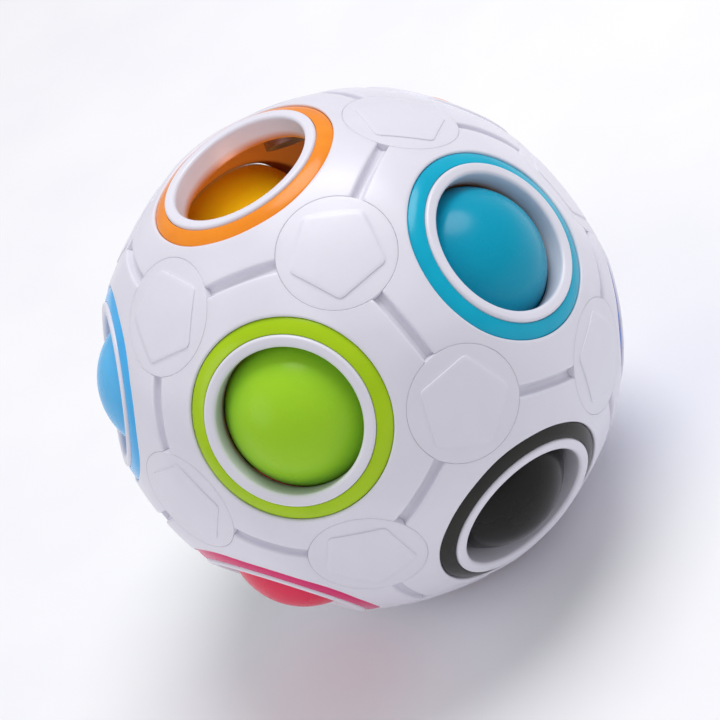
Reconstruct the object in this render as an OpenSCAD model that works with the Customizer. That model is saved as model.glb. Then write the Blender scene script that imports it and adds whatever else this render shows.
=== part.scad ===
// Rainbow puzzle ball: a hollow ball of twelve panels with twelve holes and eleven small balls.
// A small ball next to the empty hole is pressed in, passes under the shell and comes out there.
// Origin at the centre of the ball, +Z through the empty hole, in millimetres. The ball rests on
// the rim of the hole at the bottom.

/* [Shell] */
// Outside diameter of the shell
shell_d = 70; // [66:1:74]
// Thickness of the shell's wall
wall = 3.7; // [3.5:0.1:3.9]
// Gap between neighbouring panels
seam = 0.06; // [0.04:0.01:0.1]
// Half the width of the groove along each seam, and the radius of its round floor
groove_r = 0.7; // [0.5:0.05:0.9]
// Depth of the groove
groove_depth = 1.15; // [1:0.05:1.4]

/* [Holes] */
// Diameter of each hole
bore_d = 19; // [18.6:0.1:19.4]
// Outside diameter of the white rim round each hole
rim_d = 22.08; // [22:0.02:22.3]
// How far the rim's crest stands above the coloured ring's inner edge
rim_rise = 0.4; // [0.2:0.1:0.6]

/* [Rings] */
// Outside diameter of each coloured ring
ring_d = 26; // [25.5:0.1:26.5]
// Depth of the ring below its inner edge
ring_depth = 2.5; // [1.8:0.1:2.8]
// How much the ring's face is crowned
ring_crown_r = 5; // [4:0.5:10]

/* [Small balls] */
// Diameter of each small ball
small_d = 21; // [20.8:0.1:21.2]
// Clearance between a ball and the edge of its hole
seat_gap = 0.05; // [0.03:0.01:0.1]
// Diameter of the loose ball in the middle
core_d = 12.6; // [10:0.1:12.6]

/* [Corner caps] */
// Diameter of each cap
cap_d = 15; // [14:0.1:15.4]
// Distance from the centre of the ball to the top of a cap
cap_top = 34.55; // [34.3:0.05:34.7]
// Radius of the shallow dome over each corner
dome_r = 60; // [50:1:80]
// Distance from the middle of a cap to its pentagon's corners
pentagon_r = 6.3; // [5.5:0.1:6.5]
// Height of the raised pentagon
emboss = 0.15; // [0.1:0.05:0.2]

/* [Hidden] */

// Facets round a full turn
$fn = 72;
// Larger than anything that is cut
far = 60;
// How far pieces that are joined run into each other
overlap = 0.5;
shell_r = shell_d / 2;
inner_r = shell_r - wall;
bore_r = bore_d / 2;
rim_r = rim_d / 2;
ring_r = ring_d / 2;
small_r = small_d / 2;
// Radius of the blank that a panel is cut from, past its furthest corner
panel_reach = 23;

// Angles of the dodecahedron, measured from the axis of a hole
hole_to_hole = atan(2);
hole_to_edge = hole_to_hole / 2;
hole_to_corner = atan(3 - sqrt(5));
second_corner = atan(3 + sqrt(5));

// Each hole: tilt from +Z, turn about Z, and turn about its own axis that lines up its corners
function upper_hole(k) = [hole_to_hole, -90 + 72 * k, 0];
function lower_hole(k) = [180 - hole_to_hole, 18 + 72 * k, 36];
HOLES = concat(
    [[0, 90, 0]],
    [for (k = [0:4]) upper_hole(k)],
    [for (k = [0:4]) lower_hole(k)],
    [[180, 198, 36]]
);
white_hole = 3;
bottom_hole = 11;

// Each corner: tilt from +Z and turn about Z, in four rows of five from the top
CORNERS = concat(
    [for (k = [0:4]) [hole_to_corner, 18 + 72 * k]],
    [for (k = [0:4]) [second_corner, 18 + 72 * k]],
    [for (k = [0:4]) [180 - second_corner, -18 + 72 * k]],
    [for (k = [0:4]) [180 - hole_to_corner, -18 + 72 * k]]
);
// How each cap happens to be turned in its seat
CAP_TURNS = [
    10, 50, 36, 60, 36,
    60, 24, 0, 21, 0,
    12, 40, 66, 20, 60,
    30, 55, 5, 44, 15
];

// Ring and rim, as heights above the centre of the ball along the hole's axis
ring_inner_top = 33.1;
ring_outer_top = 32.1;
ring_floor = ring_inner_top - ring_depth;
rim_top = ring_inner_top + rim_rise;
// Roundings of the rim's two edges, the clearance round a ring and the chamfer at its seat's mouth
rim_inner_round = 0.5;
rim_outer_round = 0.4;
ring_gap = 0.05;
seat_chamfer = 0.45;

// Places of the small balls: seated in a hole, pressed in, and flush in the bottom hole
lip_height = sqrt(inner_r * inner_r - bore_r * bore_r);
seat_r = small_r + seat_gap;
ball_out = lip_height - sqrt(seat_r * seat_r - bore_r * bore_r);
flush_gap = 0.3;
ball_flush = rim_top - small_r - flush_gap;

// Cap seat, screw and nut, as heights above the centre of the ball along the corner's axis
cap_r = cap_d / 2;
cap_gap = 0.1;
cap_floor = 32.9;
cap_blank_h = 3;
collar_r = 3.4;
collar_wall = 0.85;
collar_floor = 32;
head_r = 2.3;
head_h = 1.2;
head_room = 0.2;
shank_r = 1;
shank_gap = 0.1;
thread_gap = 0.02;
nut_r = 3.2;
nut_floor = 29.4;
nut_blank_h = 3;
slot_w = 0.6;
slot_depth = 0.4;
dome_centre = dome_r - cap_top;

SHELL_WHITE = "#e9e8ef";
STEEL = "#a8abb0";
RING_COLOURS = [
    "#f7941e", "#a9cb15", "#00a9cf", "#e4e4ea", "#f2c414", "#3fa4e8",
    "#2c4fb5", "#7a3aa6", "#0d7a3c", "#e2245f", "#2f3029", "#c4161c"
];
// The orange ball has been passed into the white ring's hole; the others are in their own
function ball_colour(i) = RING_COLOURS[i == white_hole ? 0 : i];

module at_hole(i) {
    h = HOLES[i];
    rotate([0, h[0], h[1]])
        rotate([0, 0, h[2]])
            children();
}

module at_corner(i) {
    c = CORNERS[i];
    rotate([0, c[0], c[1]])
        children();
}

// The five corners and the five edges round a hole, in the hole's own frame
module each_corner() {
    for (k = [0:4])
        rotate([0, hole_to_corner, 72 * k])
            children();
}

module each_edge() {
    for (k = [0:4])
        rotate([0, hole_to_edge, 36 + 72 * k])
            children();
}

// Shallow dome over a corner, lowered by drop
module corner_dome(drop = 0) {
    translate([0, 0, -dome_centre - drop])
        sphere(r = dome_r, $fn = 144);
}

// Cross-section of the rim: a collar with both its top edges rounded
module rim_section() {
    root = ring_floor - overlap;
    inner_mid = bore_r + rim_inner_round;
    outer_mid = rim_r - rim_outer_round;
    translate([bore_r, root])
        square([rim_r - bore_r, rim_top - rim_inner_round - root]);
    translate([inner_mid, root])
        square([outer_mid - inner_mid, rim_top - root]);
    translate([inner_mid, rim_top - rim_inner_round])
        circle(r = rim_inner_round, $fn = 48);
    translate([outer_mid, rim_top - rim_outer_round])
        circle(r = rim_outer_round, $fn = 48);
}

// One panel of the shell in its hole's frame, with +Z out of the hole
module panel_shape() {
    difference() {
        union() {
            difference() {
                intersection() {
                    sphere(r = shell_r, $fn = 144);
                    cylinder(r = panel_reach, h = far);
                    corner_domes();
                }
                ring_seat();
            }
            rotate_extrude($fn = 144)
                rim_section();
        }
        sphere(r = inner_r, $fn = 144);
        cylinder(r = bore_r, h = far, $fn = 144);
        each_edge()
            edge_cut();
        each_corner()
            corner_cut();
    }
}

// What the five shallow domes over a panel's corners have in common
module corner_domes() {
    intersection_for (k = [0:4])
        rotate([0, hole_to_corner, 72 * k])
            corner_dome(emboss);
}

// Round pocket that the rim stands in and the coloured ring drops into, with a chamfered mouth
module ring_seat() {
    seat = ring_r + ring_gap;
    translate([0, 0, ring_floor])
        cylinder(r = seat, h = far, $fn = 144);
    translate([0, 0, ring_outer_top])
        cylinder(r1 = seat, r2 = seat + seat_chamfer, h = seat_chamfer, $fn = 144);
}

// Everything beyond the seam, and half of the round-floored groove along it
module edge_cut() {
    translate([-seam / 2, -far, 0])
        cube([far, 2 * far, far]);
    rotate([0, 90, 0])
        rotate_extrude($fn = 144)
            translate([shell_r + groove_r - groove_depth, 0])
                groove_section();
}

module groove_section() {
    circle(r = groove_r, $fn = 48);
    translate([0, -groove_r])
        square([far, 2 * groove_r]);
}

// Seat for a cap, its collar and the screw under it
module corner_cut() {
    translate([0, 0, cap_floor])
        cylinder(r = cap_r + cap_gap, h = far);
    translate([0, 0, collar_floor])
        cylinder(r = collar_r + cap_gap, h = far);
    cylinder(r = shank_r + shank_gap, h = far);
}

module panel(i) {
    color(SHELL_WHITE)
        at_hole(i)
            panel_shape();
}

// Coloured ring with a crowned face, sunk in its seat round the rim
module ring(i) {
    inner = rim_r + ring_gap;
    mid = [(inner + ring_r) / 2, (ring_inner_top + ring_outer_top) / 2];
    across = [ring_r - inner, ring_outer_top - ring_inner_top];
    half = norm(across) / 2;
    sink = sqrt(ring_crown_r * ring_crown_r - half * half);
    crown = mid - sink * [-across[1], across[0]] / norm(across);
    color(RING_COLOURS[i])
        at_hole(i)
            rotate_extrude($fn = 144)
                intersection() {
                    translate([inner, ring_floor + ring_gap])
                        square([ring_r - inner, ring_depth + 1]);
                    translate(crown)
                        circle(r = ring_crown_r, $fn = 96);
                }
}

module small_ball(i) {
    color(ball_colour(i))
        at_hole(i)
            translate([0, 0, i == bottom_hole ? ball_flush : ball_out])
                sphere(r = small_r);
}

module core_ball() {
    color(SHELL_WHITE)
        sphere(r = core_d / 2);
}

// Round cap with a raised pentagon, and a collar round the screw's head
module cap(i) {
    color(SHELL_WHITE)
        at_corner(i)
            rotate([0, 0, CAP_TURNS[i]])
                difference() {
                    union() {
                        intersection() {
                            translate([0, 0, cap_floor + thread_gap])
                                cylinder(r = cap_r, h = cap_blank_h);
                            corner_dome(emboss);
                        }
                        intersection() {
                            translate([0, 0, cap_floor + thread_gap])
                                linear_extrude(height = cap_blank_h)
                                    circle(r = pentagon_r, $fn = 5);
                            corner_dome();
                        }
                        translate([0, 0, collar_floor + thread_gap])
                            cylinder(r = collar_r, h = cap_floor - collar_floor + overlap);
                    }
                    translate([0, 0, collar_floor - overlap])
                        cylinder(r = collar_r - collar_wall, h = overlap + head_h + head_room);
                }
}

// Nuts inside the shell, one behind each corner
module corner_nuts() {
    color(STEEL)
        for (i = [0:19])
            at_corner(i)
                difference() {
                    intersection() {
                        translate([0, 0, nut_floor])
                            cylinder(r = nut_r, h = nut_blank_h);
                        sphere(r = inner_r - thread_gap, $fn = 144);
                    }
                    cylinder(r = shank_r + thread_gap, h = far);
                }
}

// Screws that clamp three panels to each nut, hidden under the caps
module corner_screws() {
    color(STEEL)
        for (i = [0:19])
            at_corner(i)
                difference() {
                    union() {
                        translate([0, 0, collar_floor + thread_gap])
                            cylinder(r = head_r, h = head_h);
                        translate([0, 0, nut_floor])
                            cylinder(r = shank_r, h = collar_floor - nut_floor + overlap);
                    }
                    translate([-far / 2, -slot_w / 2, collar_floor + thread_gap + head_h - slot_depth])
                        cube([far, slot_w, head_h]);
                }
}

// The twelve panels, each named after the ring that it carries
module panel_orange() panel(0);
module panel_green() panel(1);
module panel_cyan() panel(2);
module panel_white() panel(3);
module panel_yellow() panel(4);
module panel_light_blue() panel(5);
module panel_dark_blue() panel(6);
module panel_purple() panel(7);
module panel_dark_green() panel(8);
module panel_pink() panel(9);
module panel_black() panel(10);
module panel_red() panel(11);

// The twelve rings
module ring_orange() ring(0);
module ring_green() ring(1);
module ring_cyan() ring(2);
module ring_white() ring(3);
module ring_yellow() ring(4);
module ring_light_blue() ring(5);
module ring_dark_blue() ring(6);
module ring_purple() ring(7);
module ring_dark_green() ring(8);
module ring_pink() ring(9);
module ring_black() ring(10);
module ring_red() ring(11);

// The eleven small balls, each named after its own colour. The orange hole is the empty one
module ball_green() small_ball(1);
module ball_cyan() small_ball(2);
module ball_orange() small_ball(3);
module ball_yellow() small_ball(4);
module ball_light_blue() small_ball(5);
module ball_dark_blue() small_ball(6);
module ball_purple() small_ball(7);
module ball_dark_green() small_ball(8);
module ball_pink() small_ball(9);
module ball_black() small_ball(10);
module ball_red() small_ball(11);

// The twenty corner caps, counted from the top
module cap_01() cap(0);
module cap_02() cap(1);
module cap_03() cap(2);
module cap_04() cap(3);
module cap_05() cap(4);
module cap_06() cap(5);
module cap_07() cap(6);
module cap_08() cap(7);
module cap_09() cap(8);
module cap_10() cap(9);
module cap_11() cap(10);
module cap_12() cap(11);
module cap_13() cap(12);
module cap_14() cap(13);
module cap_15() cap(14);
module cap_16() cap(15);
module cap_17() cap(16);
module cap_18() cap(17);
module cap_19() cap(18);
module cap_20() cap(19);

panel_orange();
panel_green();
panel_cyan();
panel_white();
panel_yellow();
panel_light_blue();
panel_dark_blue();
panel_purple();
panel_dark_green();
panel_pink();
panel_black();
panel_red();
ring_orange();
ring_green();
ring_cyan();
ring_white();
ring_yellow();
ring_light_blue();
ring_dark_blue();
ring_purple();
ring_dark_green();
ring_pink();
ring_black();
ring_red();
ball_green();
ball_cyan();
ball_orange();
ball_yellow();
ball_light_blue();
ball_dark_blue();
ball_purple();
ball_dark_green();
ball_pink();
ball_black();
ball_red();
core_ball();
cap_01();
cap_02();
cap_03();
cap_04();
cap_05();
cap_06();
cap_07();
cap_08();
cap_09();
cap_10();
cap_11();
cap_12();
cap_13();
cap_14();
cap_15();
cap_16();
cap_17();
cap_18();
cap_19();
cap_20();
corner_nuts();
corner_screws();
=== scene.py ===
"""Rainbow puzzle ball: the looks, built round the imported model.

Meshes are worked out in millimetres in a hole's or a corner's own frame, with +Z out of the ball,
and then set in place in metres. The shell's panels, rings, balls and caps get finer meshes than
the CAD nodes have; the screws, nuts and core ball keep theirs.
"""
import math

import bmesh
import bpy
from mathutils import Matrix, Vector


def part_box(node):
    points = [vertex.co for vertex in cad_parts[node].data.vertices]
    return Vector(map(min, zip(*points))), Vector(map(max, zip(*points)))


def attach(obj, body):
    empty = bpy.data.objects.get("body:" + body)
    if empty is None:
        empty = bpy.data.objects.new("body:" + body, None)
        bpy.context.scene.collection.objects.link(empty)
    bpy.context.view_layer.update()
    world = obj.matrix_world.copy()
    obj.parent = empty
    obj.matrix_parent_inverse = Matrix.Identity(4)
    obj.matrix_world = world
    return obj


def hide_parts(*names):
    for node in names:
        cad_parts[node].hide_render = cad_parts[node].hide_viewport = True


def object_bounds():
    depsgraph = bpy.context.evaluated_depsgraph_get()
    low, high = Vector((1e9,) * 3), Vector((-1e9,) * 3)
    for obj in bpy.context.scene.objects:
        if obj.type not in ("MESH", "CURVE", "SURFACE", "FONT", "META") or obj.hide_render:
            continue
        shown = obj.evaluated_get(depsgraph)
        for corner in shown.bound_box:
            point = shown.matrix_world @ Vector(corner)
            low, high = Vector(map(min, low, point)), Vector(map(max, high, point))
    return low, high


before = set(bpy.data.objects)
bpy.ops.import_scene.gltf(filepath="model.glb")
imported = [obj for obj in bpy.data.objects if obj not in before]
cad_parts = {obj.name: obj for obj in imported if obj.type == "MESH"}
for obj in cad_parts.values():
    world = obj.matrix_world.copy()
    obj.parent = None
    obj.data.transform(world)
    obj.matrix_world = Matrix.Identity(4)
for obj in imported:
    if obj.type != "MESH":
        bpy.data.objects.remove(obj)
cad_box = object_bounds()

MM = 0.001

# ---------------------------------------------------------------- sizes, in millimetres
SHELL_R = 35.0
INNER_R = 31.3
BORE_R = 9.5
RIM_R = 11.04
RIM_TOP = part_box("panel_orange")[1].z / MM
RIM_ROUND_IN, RIM_ROUND_OUT = 0.5, 0.4
RING_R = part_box("ring_orange")[1].x / MM
RING_IN_TOP, RING_OUT_TOP = 33.1, 32.1
RING_FLOOR = 30.6
RING_CROWN_R = 5.0
SEAT_GAP = 0.05
LIP_CHAMFER = 0.12
GROOVE_HALF, GROOVE_DEPTH = 0.7, 1.15
HALF_SEAM = 0.006
GROOVE_ROUND = 0.42
CAP_EDGE_ROUND = 0.07
SEAT_ROUND = 0.3
CAP_R, CAP_SEAT_R = 7.57, 7.6
CAP_TOP, CAP_FLOOR = 34.55, 32.9
EMBOSS = 0.15
PENTAGON_R = 6.3
PENTAGON_BEVEL = 0.06
DOME_R = 60.0
COLLAR_R, COLLAR_FLOOR = 3.5, 32.0
SHANK_R = 1.1
SURFACE_BLEND = 0.2
SEAT_R = RING_R + SEAT_GAP
CORNER_SOFT, CORNER_SOFT_TURN = 0.2, math.radians(5)

# ---------------------------------------------------------------- the dodecahedron's angles
HOLE_TO_HOLE = math.atan(2)
HOLE_TO_EDGE = HOLE_TO_HOLE / 2
HOLE_TO_CORNER = math.atan(3 - math.sqrt(5))
EDGE_TO_CORNER = math.acos((1 + math.sqrt(5)) / (2 * math.sqrt(3)))
FIFTH = math.tau / 5

HOLES = ["orange", "green", "cyan", "white", "yellow", "light_blue",
         "dark_blue", "purple", "dark_green", "pink", "black", "red"]


def direction(tilt, turn):
    """Unit vector at tilt from +Z, turned about Z."""
    return Vector((math.sin(tilt) * math.cos(turn), math.sin(tilt) * math.sin(turn), math.cos(tilt)))


def hole_axes():
    """Axes of the twelve holes, in the order of HOLES."""
    front = -math.pi / 2
    upper = [direction(HOLE_TO_HOLE, front + FIFTH * k) for k in range(5)]
    lower = [direction(math.pi - HOLE_TO_HOLE, front + FIFTH * (k + 1.5)) for k in range(5)]
    return [Vector((0, 0, 1)), *upper, *lower, Vector((0, 0, -1))]


AXES = dict(zip(HOLES, hole_axes()))


def corner_axes():
    """Axes of the twenty corners, each the middle of three neighbouring holes."""
    near = math.cos(HOLE_TO_HOLE) - 0.01
    axes = list(AXES.values())
    found = []
    for i, a in enumerate(axes):
        for j in range(i + 1, 12):
            for k in range(j + 1, 12):
                b, c = axes[j], axes[k]
                if a.dot(b) > near and b.dot(c) > near and c.dot(a) > near:
                    found.append((a + b + c).normalized())
    return found


def frame_matrix(axis, towards):
    """Rotation with +Z along axis and +X as near to towards as it can be."""
    x = (towards - axis * towards.dot(axis)).normalized()
    y = axis.cross(x)
    return Matrix((x, y, axis)).transposed().to_4x4()


# ---------------------------------------------------------------- building meshes
class Patches:
    """Faces gathered from grids of points, then joined where they meet."""

    def __init__(self):
        self.points = []
        self.faces = []

    def face(self, points):
        start = len(self.points)
        self.points.extend(points)
        self.faces.append(range(start, len(self.points)))

    def grid(self, columns, closed=False):
        """Quads between neighbouring columns of points, all of one length."""
        start, n = len(self.points), len(columns[0])
        for column in columns:
            self.points.extend(column)
        pairs = len(columns) if closed else len(columns) - 1
        for i in range(pairs):
            a = start + i * n
            b = start + ((i + 1) % len(columns)) * n
            for j in range(n - 1):
                self.faces.append((a + j, b + j, b + j + 1, a + j + 1))

    def build(self, name, sharp_deg=35):
        """A closed mesh in metres; edges that turn more than sharp_deg stay sharp."""
        bm = bmesh.new()
        verts = [bm.verts.new(p) for p in self.points]
        for f in self.faces:
            bm.faces.new([verts[i] for i in f])
        bmesh.ops.remove_doubles(bm, verts=bm.verts, dist=1e-4)
        bmesh.ops.dissolve_degenerate(bm, dist=1e-5, edges=bm.edges)
        bmesh.ops.recalc_face_normals(bm, faces=bm.faces)
        for e in bm.edges:
            e.smooth = len(e.link_faces) == 2 and e.calc_face_angle(0) < math.radians(sharp_deg)
        for f in bm.faces:
            f.smooth = True
        bm.transform(Matrix.Scale(MM, 4))
        mesh = bpy.data.meshes.new(name)
        bm.to_mesh(mesh)
        open_edges = sum(len(e.link_faces) != 2 for e in bm.edges)
        bm.free()
        if open_edges:
            print(name, "has", open_edges, "edges that aren't shared by two faces")
        return mesh


def spread(n, low=0.0, high=1.0):
    """n + 1 values from low to high."""
    return [low + (high - low) * i / n for i in range(n + 1)]


def bend(a, b, c, n=4):
    """n + 1 points of the quadratic curve from a to c, pulled towards b: a rounded edge."""
    return [a * (1 - t) ** 2 + b * (2 * t * (1 - t)) + c * t * t for t in spread(n)]


def arc(centre, radius, start_deg, end_deg, n):
    """Points (r, z) of an arc in a lathe profile; angles from the direction of +r."""
    out = []
    for t in spread(n, math.radians(start_deg), math.radians(end_deg)):
        out.append((centre[0] + radius * math.cos(t), centre[1] + radius * math.sin(t)))
    return out


def full_turn(n):
    """n turns about Z, all the way round."""
    return [math.tau * i / n for i in range(n)]


def lathe(profile, n):
    """The columns of a closed lathe, n of them."""
    return [[Vector((r * math.cos(t), r * math.sin(t), z)) for r, z in profile] for t in full_turn(n)]


# ---------------------------------------------------------------- panel
PANEL_CORNERS = [direction(HOLE_TO_CORNER, FIFTH * k) for k in range(5)]


def outer_radius(d, drop=EMBOSS):
    """Distance to the shell's outer surface along unit vector d: a sphere, flatter at each corner."""
    centre = DOME_R - (CAP_TOP - drop)
    k = max(d.dot(c) for c in PANEL_CORNERS)
    dome = math.sqrt((centre * k) ** 2 + DOME_R ** 2 - centre ** 2) - centre * k
    overlap = max(SURFACE_BLEND - abs(SHELL_R - dome), 0) / SURFACE_BLEND
    return min(SHELL_R, dome) - overlap ** 2 * SURFACE_BLEND / 4


def on_surface(point, axis):
    """Moves a point along axis until it lies on the outer surface."""
    flat = point - axis * point.dot(axis)
    height = SHELL_R
    for _ in range(6):
        d = (flat + axis * height).normalized()
        height = math.sqrt(outer_radius(d) ** 2 - flat.length_squared)
    return flat + axis * height


class Edge:
    """Half of one edge of a panel, from the middle of the edge to a corner. side is 1 or -1."""

    def __init__(self, k, side):
        self.corner = PANEL_CORNERS[k]
        self.middle = direction(HOLE_TO_EDGE, FIFTH * (k + side / 2))
        self.along = (self.corner - self.middle * self.corner.dot(self.middle)).normalized()
        inward = self.middle.cross(self.along)
        self.inward = inward if inward.z > 0 else -inward

    def point(self, x, height, angle):
        """x from the seam's plane, at height from the ball's centre, angle along the edge."""
        return self.inward * x + (self.middle * math.cos(angle) + self.along * math.sin(angle)) * height

    def end_angle(self, x, height, radius):
        """Where the point is at radius from the corner's axis."""
        return EDGE_TO_CORNER - math.asin(math.sqrt(radius ** 2 - x ** 2) / height)

    def surface_height(self, x, angle):
        height = SHELL_R
        for _ in range(6):
            d = self.point(x, height, angle).normalized()
            height = math.sqrt(outer_radius(d) ** 2 - x ** 2)
        return height

    def rounding(self, s):
        """Three points that shape the groove's rounded edge at s, from 0 at the middle to 1."""
        rough = s * self.end_angle(GROOVE_HALF, SHELL_R, CAP_SEAT_R)
        height = self.surface_height(GROOVE_HALF, rough)
        top_x = GROOVE_HALF + GROOVE_ROUND
        top_h = self.surface_height(top_x, rough)
        low_h = height - GROOVE_ROUND
        top = self.point(top_x, top_h, s * self.end_angle(top_x, top_h, CAP_SEAT_R + CAP_EDGE_ROUND))
        mid = self.point(GROOVE_HALF, height, s * self.end_angle(GROOVE_HALF, height, CAP_SEAT_R))
        low = self.point(GROOVE_HALF, low_h, s * self.end_angle(GROOVE_HALF, low_h, CAP_SEAT_R))
        return top, mid, low

    def groove(self, s, n=10):
        """Points of the groove's wall and floor at s, from its rounded edge to the seam."""
        rough = s * self.end_angle(GROOVE_HALF, SHELL_R, CAP_SEAT_R)
        low_h = self.surface_height(GROOVE_HALF, rough) - GROOVE_ROUND
        bottom = SHELL_R - GROOVE_DEPTH
        out = []
        for t in spread(n, 0, math.pi / 2):
            x = GROOVE_HALF + (HALF_SEAM - GROOVE_HALF) * (1 - math.cos(t))
            height = low_h + (bottom - low_h) * math.sin(t)
            out.append(self.point(x, height, s * self.end_angle(x, height, CAP_SEAT_R)))
        return out

    def inner(self, s):
        """Point of the inner sphere at the seam, from the middle of the edge to the screw hole."""
        height = math.sqrt(INNER_R ** 2 - HALF_SEAM ** 2)
        return self.point(HALF_SEAM, height, s * self.end_angle(HALF_SEAM, height, SHANK_R))


class Corner:
    """The part of a cap's seat that lies in one panel, in the panel's frame."""

    def __init__(self, k):
        self.axis = PANEL_CORNERS[k]
        hole = Vector((0, 0, 1))
        self.x = (hole - self.axis * hole.dot(self.axis)).normalized()
        self.y = self.x.cross(self.axis)

    def point(self, radius, turn, height):
        return self.x * (radius * math.cos(turn)) + self.y * (radius * math.sin(turn)) + self.axis * height

    def turn_of(self, p):
        return math.atan2(p.dot(self.y), p.dot(self.x))

    def seam_turn(self, radius):
        return math.pi / 3 - math.asin(HALF_SEAM / radius)

    def rounding(self, turns):
        """Three points that shape the seat's rounded edge, each at its own turn."""
        top = on_surface(self.point(CAP_SEAT_R + CAP_EDGE_ROUND, turns[0], 0), self.axis)
        height = top.dot(self.axis)
        mid = self.point(CAP_SEAT_R, turns[1], height)
        low = self.point(CAP_SEAT_R, turns[2], height - CAP_EDGE_ROUND)
        return top, mid, low


def rim_profile():
    """(r, z) from the ring's seat in over the rim and down the bore to its edge at the inner sphere."""
    lip = BORE_R + LIP_CHAMFER
    outer_mid, inner_mid = RIM_R - RIM_ROUND_OUT, BORE_R + RIM_ROUND_IN
    points = [(RIM_R, RING_FLOOR)]
    points += arc((outer_mid, RIM_TOP - RIM_ROUND_OUT), RIM_ROUND_OUT, 0, 90, 6)
    points += arc((inner_mid, RIM_TOP - RIM_ROUND_IN), RIM_ROUND_IN, 90, 180, 8)
    bottom = math.sqrt(INNER_R ** 2 - lip ** 2)
    bore_top, bore_bottom = RIM_TOP - RIM_ROUND_IN, bottom + LIP_CHAMFER * 2
    points += [(BORE_R, z) for z in spread(4, bore_top, bore_bottom)]
    points += [(BORE_R + LIP_CHAMFER * 0.3, bottom + LIP_CHAMFER * 0.8), (lip, bottom)]
    return points


def panel_columns(groove_steps=9, seat_steps=9):
    """The columns round a panel: (three edge-rounding points, where it ends on the inner sphere)."""
    columns = []
    for k in range(5):
        corner = Corner(k)
        halves = {}
        for side in (-1, 1):
            edge = Edge(k, side)
            roundings = [edge.rounding(s) for s in spread(groove_steps)]
            inners = [edge.inner(s) for s in spread(groove_steps)]
            halves[side] = list(zip(roundings, inners))
        first = [corner.turn_of(p) for p in halves[-1][-1][0]]
        last = [corner.turn_of(p) for p in halves[1][-1][0]]
        seat = []
        for u in spread(2 * seat_steps)[1:-1]:
            turns = [a + (b - a) * u for a, b in zip(first, last)]
            inner = corner.point(SHANK_R, corner.seam_turn(SHANK_R) * (2 * u - 1), 0)
            height = math.sqrt(INNER_R ** 2 - SHANK_R ** 2)
            seat.append((corner.rounding(turns), inner + corner.axis * height))
        columns += halves[-1][1:] + seat + halves[1][::-1]
    return columns


def surface_run(top, n=14):
    """Points of the outer surface from the ring's seat out to top."""
    out = Vector((top.x, top.y, 0)).normalized()
    start = on_surface(out * (SEAT_R + SEAT_ROUND), Vector((0, 0, 1)))
    a, b = start.normalized(), top.normalized()
    between = [a.slerp(b, t) for t in spread(n)[1:-1]]
    return [start, *[d * outer_radius(d) for d in between], top]


def panel_mesh():
    """One panel in its hole's frame."""
    patches = Patches()
    columns = panel_columns()
    rim = rim_profile()
    tops, skins = [], []
    for (top, mid, low), inner in columns:
        run = surface_run(top)
        up = Vector((0, 0, 1))
        out = Vector((top.x, top.y, 0)).normalized()
        seat = out * SEAT_R
        height = run[0].z
        mouth = bend(seat + up * (height - SEAT_ROUND), seat + up * height, run[0], 6)
        wall = [out * r + up * z for r, z in reversed(rim)]
        tops.append([*wall, seat + up * RING_FLOOR, *mouth, *run[1:], *bend(top, mid, low, 6)[1:]])
        lip = wall[0]
        a, b = lip.normalized(), inner.normalized()
        skins.append([lip] + [a.slerp(b, t) * INNER_R for t in spread(8)[1:-1]] + [inner])
    patches.grid(tops, closed=True)
    patches.grid(skins, closed=True)
    for k in range(5):
        add_edge(patches, k)
        add_seat(patches, k)
    return patches


def add_edge(patches, k, steps=9):
    """The groove's wall and the flat seam face between corner k and the next."""
    ahead, back = Edge(k, 1), Edge((k + 1) % 5, -1)
    values = spread(steps)
    walls = [ahead.groove(s) for s in reversed(values)] + [back.groove(s) for s in values[1:]]
    patches.grid(walls)
    inner = [ahead.inner(s) for s in reversed(values)] + [back.inner(s) for s in values[1:]]
    seam = [wall[-1] for wall in walls]
    seam += seam_steps(Corner((k + 1) % 5), -1)
    seam += inner[::-1]
    seam += seam_steps(Corner(k), 1)[::-1]
    patches.face(seam)


def seam_steps(corner, side):
    """Points down a cap seat's steps in the seam's plane, from the seat's wall to the screw hole."""
    steps = [(CAP_SEAT_R, CAP_FLOOR), (COLLAR_R, CAP_FLOOR), (COLLAR_R, COLLAR_FLOOR),
             (SHANK_R, COLLAR_FLOOR)]
    return [corner.point(r, side * corner.seam_turn(r), h) for r, h in steps]


def add_seat(patches, k, seat_steps=9):
    """The wall, floor, collar seat and screw hole under a cap, inside one panel."""
    corner = Corner(k)
    before, after = Edge(k, -1).rounding(1), Edge(k, 1).rounding(1)
    first = [corner.turn_of(p) for p in before]
    last = [corner.turn_of(p) for p in after]
    full = corner.seam_turn(CAP_SEAT_R)
    walls, floors = [], []
    inner_h = math.sqrt(INNER_R ** 2 - SHANK_R ** 2)
    for u in spread(2 * seat_steps):
        turns = [a + (b - a) * u for a, b in zip(first, last)]
        low = before[2] if u == 0 else after[2] if u == 1 else corner.rounding(turns)[2]
        walls.append([low, corner.point(CAP_SEAT_R, turns[2], CAP_FLOOR)])
        share = turns[2] / full
        hole = corner.seam_turn(SHANK_R) * (2 * u - 1)
        floors.append([
            corner.point(CAP_SEAT_R, turns[2], CAP_FLOOR),
            corner.point(COLLAR_R, corner.seam_turn(COLLAR_R) * share, CAP_FLOOR),
            corner.point(COLLAR_R, corner.seam_turn(COLLAR_R) * share, COLLAR_FLOOR),
            corner.point(SHANK_R, hole, COLLAR_FLOOR),
            corner.point(SHANK_R, hole, inner_h),
        ])
    patches.grid(walls)
    patches.grid(floors)
    for side, column, wall in ((-1, floors[0], walls[0]), (1, floors[-1], walls[-1])):
        end = Edge(k, side).groove(1)
        seam = seam_steps(corner, side)
        patches.face([wall[1], *end, seam[0]])
        patches.face([column[0], seam[0], seam[1], column[1]])
        patches.face([column[1], seam[1], seam[2], column[2]])
        patches.face([column[2], seam[2], column[3]])


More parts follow.
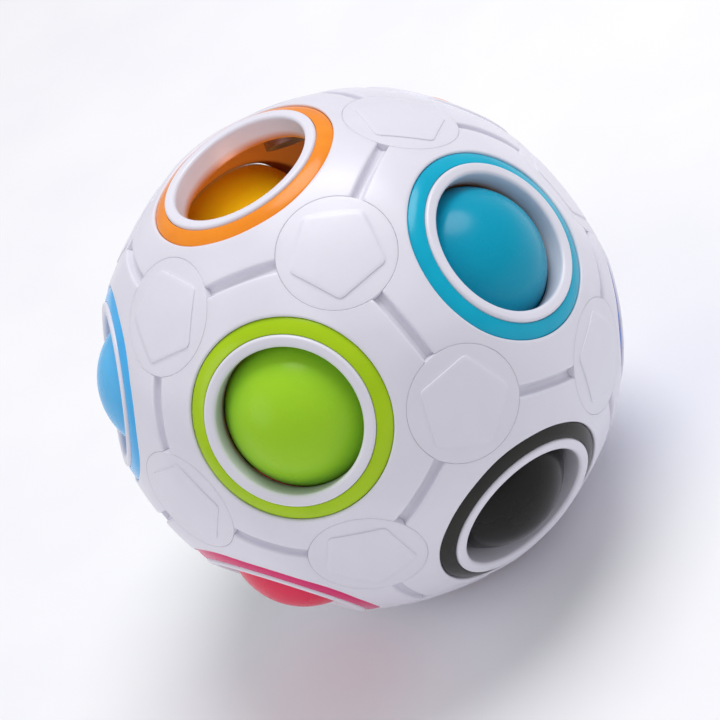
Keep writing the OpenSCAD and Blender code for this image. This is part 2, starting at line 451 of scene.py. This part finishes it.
# ---------------------------------------------------------------- rings, caps and balls
def ring_mesh():
    """A ring in its hole's frame: a crowned face that slopes outwards, with rounded edges."""
    inner, floor = RIM_R + SEAT_GAP, RING_FLOOR + SEAT_GAP
    soft, foot = 0.16, 0.2
    middle = Vector(((inner + RING_R) / 2, (RING_IN_TOP + RING_OUT_TOP) / 2))
    across = Vector((RING_R - inner, RING_OUT_TOP - RING_IN_TOP))
    sink = math.sqrt(RING_CROWN_R ** 2 - (across.length / 2) ** 2)
    crown = middle + Vector((across.y, -across.x)).normalized() * sink

    def face(r):
        return r, crown.y + math.sqrt(RING_CROWN_R ** 2 - (r - crown.x) ** 2)

    def rounded(a, b, c):
        return [tuple(p) for p in bend(Vector(a), Vector(b), Vector(c), 6)]

    profile = [(inner + foot, floor), (inner, floor + foot)]
    profile += rounded((inner, face(inner)[1] - soft), face(inner), face(inner + soft))
    profile += [face(r) for r in spread(12, inner + soft, RING_R - soft)[1:-1]]
    profile += rounded(face(RING_R - soft), face(RING_R), (RING_R, face(RING_R)[1] - soft))
    profile += [(RING_R, floor + foot), (RING_R - foot, floor)]
    profile.append(profile[0])
    patches = Patches()
    patches.grid(lathe(profile, 160), closed=True)
    return patches.build("ring")


def cap_mesh():
    """A cap in its corner's frame, with a corner of its pentagon towards +X."""
    gap, soft = 0.02, 0.06
    collar_r = 3.4
    pocket_r, pocket_top = 2.55, 33.4
    half_bevel = PENTAGON_BEVEL / 2

    def at(turn, r, z):
        return Vector((r * math.cos(turn), r * math.sin(turn), z))

    def dome(turn, r, drop):
        return at(turn, r, math.sqrt(DOME_R ** 2 - r ** 2) - (DOME_R - CAP_TOP + drop))

    columns = []
    for turn in full_turn(120):
        off = (turn + FIFTH / 2) % FIFTH - FIFTH / 2
        side = PENTAGON_R * math.cos(FIFTH / 2) / math.cos(FIFTH / 2 - abs(off))
        side -= CORNER_SOFT * max(0, 1 - abs(off) / CORNER_SOFT_TURN) ** 2
        foot, crest = side + half_bevel, side - half_bevel
        column = [dome(turn, crest * t, 0) for t in spread(10)]
        column += bend(dome(turn, crest, 0), dome(turn, side, 0), dome(turn, side, EMBOSS / 2), 3)[1:]
        column += bend(dome(turn, side, EMBOSS / 2), dome(turn, side, EMBOSS),
                       dome(turn, foot, EMBOSS), 3)[1:]
        edge = dome(turn, CAP_R, EMBOSS)
        column += [dome(turn, foot + (CAP_R - soft - foot) * t, EMBOSS) for t in spread(4)[1:]]
        column += bend(column[-1], edge, edge - Vector((0, 0, soft)))[1:]
        column += [at(turn, r, z) for r, z in (
            (CAP_R, CAP_FLOOR + gap), (collar_r, CAP_FLOOR + gap), (collar_r, COLLAR_FLOOR + gap),
            (pocket_r, COLLAR_FLOOR + gap), (pocket_r, pocket_top), (0, pocket_top))]
        columns.append(column)
    patches = Patches()
    patches.grid(columns, closed=True)
    return patches.build("cap", 40)


def ball_mesh(radius):
    """A ball about its own centre."""
    patches = Patches()
    profile = [(radius * math.sin(t), radius * math.cos(t)) for t in spread(64, 0, math.pi)]
    patches.grid(lathe(profile, 128), closed=True)
    return patches.build("ball")


def place(mesh, name, matrix, body, material, cad_node):
    """Sets a mesh in place as a piece that stands for a CAD node."""
    mesh = mesh.copy()
    mesh.name = name
    mesh.transform(matrix)
    mesh.materials.append(material)
    obj = bpy.data.objects.new(name, mesh)
    bpy.context.scene.collection.objects.link(obj)
    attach(obj, body)
    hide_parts(cad_node)


def keep(cad_node, material):
    """Shows a CAD node's own mesh, with this material."""
    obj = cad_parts[cad_node]
    obj.data.materials.clear()
    obj.data.materials.append(material)


# ---------------------------------------------------------------- materials
def screen(red, green, blue):
    """Linear colour from an 8-bit screen colour."""
    def linear(v):
        v /= 255
        return v / 12.92 if v <= 0.04045 else ((v + 0.055) / 1.055) ** 2.4
    return linear(red), linear(green), linear(blue), 1.0


def node(tree, kind, inputs=(), **settings):
    """A new node with its settings and inputs filled in; an input is a value or a socket."""
    made = tree.nodes.new("ShaderNode" + kind)
    for key, value in settings.items():
        setattr(made, key, value)
    for key, value in dict(inputs).items():
        if isinstance(value, bpy.types.NodeSocket):
            tree.links.new(value, made.inputs[key])
        else:
            made.inputs[key].default_value = value
    return made


def ramp(tree, factor, low, high, colours):
    """Colours spread evenly between low and high of factor."""
    made = node(tree, "ValToRGB", {"Fac": factor})
    stops = made.color_ramp.elements
    while len(stops) < len(colours):
        stops.new(0.5)
    for i, colour in enumerate(colours):
        stops[i].position = low + (high - low) * i / (len(colours) - 1)
        stops[i].color = colour
    return made.outputs["Color"]


def paint(name, **settings):
    """A material, its node tree, its shader and its object coordinates."""
    material = bpy.data.materials.new(name)
    material.use_nodes = True
    tree = material.node_tree
    shader = tree.nodes["Principled BSDF"]
    for key, value in settings.items():
        shader.inputs[key.replace("_", " ")].default_value = value
    return material, tree, shader, tree.nodes.new("ShaderNodeTexCoord").outputs["Object"]


def finish_surface(tree, shader, coords, rough, grain_mm, grain_depth_mm):
    """Uneven gloss and a fine moulded grain. rough is the lowest and highest roughness."""
    smear = node(tree, "TexNoise", {"Vector": coords, "Scale": 1 / (9 * MM), "Detail": 4.0})
    gloss = node(tree, "MapRange", {"Value": smear.outputs["Fac"], "From Min": 0.35, "From Max": 0.65,
                                    "To Min": rough[0], "To Max": rough[1]})
    tree.links.new(gloss.outputs["Result"], shader.inputs["Roughness"])
    grain = node(tree, "TexNoise", {"Vector": coords, "Scale": 1 / (grain_mm * MM), "Detail": 3.0})
    bump = node(tree, "Bump", {"Height": grain.outputs["Fac"], "Distance": grain_depth_mm * MM,
                               "Strength": 1.0})
    tree.links.new(bump.outputs["Normal"], shader.inputs["Normal"])


# Where a Mix node keeps its two colours and their mixture
MIX_A, MIX_B, MIX_RESULT = 6, 7, 2


def shell_paint():
    """Satin white plastic, faintly lavender, with slow flow marks from the mould.

    Inside, near the empty hole, orange-brown is painted in as painted light, standing for the light that
    comes in by the orange ring.
    """
    material, tree, shader, coords = paint("shell_white", Subsurface_Weight=0.12, Subsurface_Scale=0.002)
    shader.inputs["Subsurface Radius"].default_value = (1.0, 0.9, 1.0)
    flow = node(tree, "TexNoise", {"Vector": coords, "Scale": 1 / (14 * MM), "Detail": 3.0,
                                   "Distortion": 0.6})
    colour = ramp(tree, flow.outputs["Fac"], 0.3, 0.7, [screen(224, 222, 232), screen(230, 228, 238)])
    from_centre = node(tree, "VectorMath", {0: coords}, operation="LENGTH").outputs["Value"]
    inside = node(tree, "MapRange", {"Value": from_centre, "From Min": 31.5 * MM, "From Max": 32.6 * MM,
                                     "To Min": 1.0, "To Max": 0.0}).outputs["Result"]
    height = node(tree, "SeparateXYZ", {"Vector": coords}).outputs["Z"]
    near_top = node(tree, "MapRange", {"Value": height, "From Min": 4 * MM,
                                       "From Max": 14 * MM}).outputs["Result"]
    # painted light: orange-brown painted on the inner surfaces near the empty orange hole, where no lamp
    # makes it
    painted_light_mask = node(tree, "Math", {0: inside, 1: near_top}, operation="MULTIPLY").outputs["Value"]
    painted_light_mix = node(tree, "Mix", {0: painted_light_mask, MIX_A: colour, MIX_B: screen(200, 124, 58)}, data_type="RGBA")
    tree.links.new(painted_light_mix.outputs[MIX_RESULT], shader.inputs["Base Color"])
    finish_surface(tree, shader, coords, (0.3, 0.38), 0.35, 0.004)
    return material


def gloss_paint(name, base, deep, rough=(0.16, 0.26), grain_depth_mm=0.0015):
    """Coloured glossy plastic: base clouded with deep."""
    material, tree, shader, coords = paint(name, Subsurface_Weight=0.08, Subsurface_Scale=0.001,
                                           Specular_IOR_Level=0.25)
    cloud = node(tree, "TexNoise", {"Vector": coords, "Scale": 1 / (6 * MM), "Detail": 3.0,
                                    "Distortion": 0.4})
    colour = ramp(tree, cloud.outputs["Fac"], 0.25, 0.75, [screen(*deep), screen(*base)])
    tree.links.new(colour, shader.inputs["Base Color"])
    finish_surface(tree, shader, coords, rough, 0.5, grain_depth_mm)
    return material


def ball_paint_with_painted_shade(name, base, deep, centre, radius, axis):
    """Coloured ball plastic: base on the side that shows and the side within, with painted shade in the
    deep colour round its waist.
    """
    material, tree, shader, coords = paint(name, Subsurface_Weight=0.1, Subsurface_Scale=0.0015,
                                           Specular_IOR_Level=0.18)
    out = node(tree, "VectorMath", {0: coords, 1: centre}, operation="SUBTRACT").outputs["Vector"]
    height = node(tree, "VectorMath", {0: out, 1: axis}, operation="DOT_PRODUCT").outputs["Value"]
    cloud = node(tree, "TexNoise", {"Vector": coords, "Scale": 1 / (7 * MM), "Detail": 2.0})
    # painted shade: the deep colour is painted round the ball's waist, and the lighter base on its outward
    # and inward sides
    painted_shade_wander = node(tree, "Math", {0: cloud.outputs["Fac"], 1: 0.2 * radius, 2: height},
                  operation="MULTIPLY_ADD")
    share = node(tree, "MapRange", {"Value": painted_shade_wander.outputs["Value"], "From Min": -0.7 * radius,
                                    "From Max": 0.95 * radius})
    colour = ramp(tree, share.outputs["Result"], 0.0, 1.0, [screen(*base), screen(*deep), screen(*base)])
    tree.links.new(colour, shader.inputs["Base Color"])
    finish_surface(tree, shader, coords, (0.22, 0.32), 0.5, 0.0015)
    return material


def steel_paint():
    """Plated steel, with a drawn grain."""
    material, tree, shader, coords = paint("steel", Metallic=1.0)
    stretched = node(tree, "Mapping", {"Vector": coords, "Scale": (1.0, 1.0, 12.0)})
    grain = node(tree, "TexNoise", {"Vector": stretched.outputs["Vector"], "Scale": 1 / (1.5 * MM),
                                    "Detail": 5.0})
    colour = ramp(tree, grain.outputs["Fac"], 0.3, 0.7, [screen(150, 152, 158), screen(190, 192, 197)])
    tree.links.new(colour, shader.inputs["Base Color"])
    finish_surface(tree, shader, coords, (0.28, 0.42), 0.25, 0.002)
    return material


# Colours as they look lit, each with the deeper one in its clouds
RINGS = {
    "orange": ((248, 150, 40), (240, 136, 26)),
    "green": ((178, 214, 24), (166, 204, 16)),
    "cyan": ((0, 178, 208), (0, 166, 198)),
    "white": ((234, 233, 242), (226, 226, 235)),
    "yellow": ((245, 200, 20), (238, 188, 12)),
    "light_blue": ((80, 186, 244), (66, 174, 238)),
    "dark_blue": ((60, 100, 200), (48, 86, 188)),
    "purple": ((130, 70, 170), (118, 58, 158)),
    "dark_green": ((20, 130, 70), (14, 118, 60)),
    "pink": ((222, 40, 112), (210, 30, 102)),
    "black": ((36, 36, 30), (30, 30, 25)),
    "red": ((205, 30, 40), (192, 22, 32)),
}
# A ball has painted shade in its deep colour round its waist, and base on the side that shows and the side
# within
BALLS = {
    "green": ((160, 212, 40), (96, 186, 40)),
    "cyan": ((0, 155, 186), (0, 132, 166)),
    "orange": ((240, 138, 30), (228, 112, 16)),
    "yellow": ((230, 212, 40), (228, 188, 24)),
    "light_blue": ((96, 188, 240), (60, 160, 230)),
    "dark_blue": ((60, 100, 200), (40, 72, 170)),
    "purple": ((130, 70, 170), (105, 48, 148)),
    "dark_green": ((20, 130, 70), (10, 105, 52)),
    "pink": ((228, 50, 84), (214, 34, 96)),
    "black": ((20, 20, 17), (15, 15, 13)),
    "red": ((205, 30, 40), (180, 16, 28)),
}
# The ball in each hole: the orange one has been passed into the white ring's hole
BALL_IN = {hole: hole for hole in HOLES[1:]} | {"white": "orange"}


# ---------------------------------------------------------------- the object
def set_out():
    """Every piece, placed by the CAD nodes that it stands for."""
    shell, steel = shell_paint(), steel_paint()
    panel, ring, cap = panel_mesh().build("panel"), ring_mesh(), cap_mesh()
    corners = corner_axes()
    for hole, axis in AXES.items():
        nearest = max(corners, key=axis.dot)
        at = frame_matrix(axis, nearest)
        place(panel, hole + "_panel", at, "shell", shell, "panel_" + hole)
        ring_paint = gloss_paint(hole + "_ring", *RINGS[hole])
        place(ring, hole + "_ring", at, "shell", ring_paint, "ring_" + hole)
    for hole, ball in BALL_IN.items():
        axis = AXES[hole]
        low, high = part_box("ball_" + ball)
        radius, centre = (high - low).x / 2, (low + high) / 2
        coat = ball_paint_with_painted_shade(ball + "_ball", *BALLS[ball], centre, radius, axis)
        spot = Matrix.Translation(centre) @ frame_matrix(axis, max(corners, key=axis.dot))
        place(ball_mesh(radius / MM), ball + "_ball", spot, "small_ball_" + ball, coat,
              "ball_" + ball)
    for i in range(1, 21):
        name = f"cap_{i:02d}"
        centre = sum(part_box(name), Vector()).normalized()
        axis = max(corners, key=centre.dot)
        at = frame_matrix(axis, Vector((0, 0, 1))) @ Matrix.Rotation(CAP_TURNS[i - 1], 4, "Z")
        place(cap, f"corner_{i:02d}", at, "shell", shell, name)
    keep("corner_nuts", steel)
    keep("corner_screws", steel)
    keep("core_ball", shell)


# How each cap happens to be turned, in degrees from the same start as the model's
CAP_TURNS = [math.pi + math.radians(turn) for turn in (
    10, 50, 36, 60, 36,
    60, 24, 0, 21, 0,
    12, 40, 66, 20, 60,
    30, 55, 5, 44, 15)]


# ---------------------------------------------------------------- floor, lights and camera
def add_floor():
    material, tree, shader, coords = paint("floor", Roughness=0.9)
    speck = node(tree, "TexNoise", {"Vector": coords, "Scale": 40.0, "Detail": 2.0})
    colour = ramp(tree, speck.outputs["Fac"], 0.3, 0.7, [screen(244, 244, 247), screen(248, 248, 250)])
    tree.links.new(colour, shader.inputs["Base Color"])
    half, low = 3.0, cad_box[0].z
    corners = [(-half, -half, low), (half, -half, low), (half, half, low), (-half, half, low)]
    mesh = bpy.data.meshes.new("floor")
    mesh.from_pydata(corners, [], [(0, 1, 2, 3)])
    mesh.materials.append(material)
    floor = bpy.data.objects.new("floor", mesh)
    bpy.context.scene.collection.objects.link(floor)


def aim(obj, spot, target=Vector()):
    """Puts a lamp at spot, in metres, and turns it towards target."""
    obj.location = spot
    obj.rotation_euler = (target - Vector(spot)).to_track_quat("-Z", "Y").to_euler()


def add_light(name, spot, size, watts):
    """A round white lamp that shines on the ball."""
    lamp = bpy.data.lights.new(name, "AREA")
    lamp.shape, lamp.size, lamp.energy = "DISK", size, watts
    obj = bpy.data.objects.new(name, lamp)
    bpy.context.scene.collection.objects.link(obj)
    aim(obj, spot)


UNDER_EMPTY_HOLE = (0.003, -0.004, 0.019)


def add_glow(name, watts, colour, spread_deg, target):
    """Part of the light that a real shell, thin and pale, lets through to its inside."""
    lamp = bpy.data.lights.new(name, "SPOT")
    lamp.energy, lamp.color, lamp.shadow_soft_size = watts, colour, 0.002
    lamp.spot_size, lamp.spot_blend = math.radians(spread_deg), 1.0
    obj = bpy.data.objects.new(name, lamp)
    bpy.context.scene.collection.objects.link(obj)
    aim(obj, UNDER_EMPTY_HOLE, target)


def add_camera():
    """The viewpoint, from the front and above, with the puzzle leaning to one side in the picture."""
    right = Vector((0.88077, 0.06495, -0.46906)).normalized()
    down = Vector((-0.31925, -0.65014, -0.68949))
    back = right.cross(-down).normalized()
    up = back.cross(right)
    camera = bpy.data.cameras.new("camera")
    camera.lens, camera.sensor_width = 129.65, 36.0
    camera.clip_start = 0.01
    obj = bpy.data.objects.new("camera", camera)
    turn = Matrix((right, up, back)).transposed().to_4x4()
    obj.matrix_world = Matrix.Translation((0.12142, -0.26521, 0.19167)) @ turn
    bpy.context.scene.collection.objects.link(obj)
    bpy.context.scene.camera = obj


def add_surroundings():
    world = bpy.data.worlds.new("studio")
    world.use_nodes = True
    backdrop = world.node_tree.nodes["Background"]
    backdrop.inputs["Color"].default_value = (0.95, 0.95, 1.0, 1.0)
    backdrop.inputs["Strength"].default_value = 0.52
    bpy.context.scene.world = world
    bpy.context.scene.view_settings.view_transform = "Standard"
    add_light("key", (0.16, 0.165, 0.57), 0.40, 2.35)
    add_light("fill", (-0.45, -0.30, 0.35), 0.40, 0.6)
    yellow_ball = AXES["yellow"] * 0.025
    above_it = yellow_ball + Vector((0, 0, 0.012))
    add_glow("ball_glow", 0.013, (1.0, 1.0, 0.4), 84, yellow_ball)
    add_glow("wall_glow", 0.0095, (1.0, 0.56, 0.43), 150, above_it)


set_out()
add_floor()
add_surroundings()
add_camera()
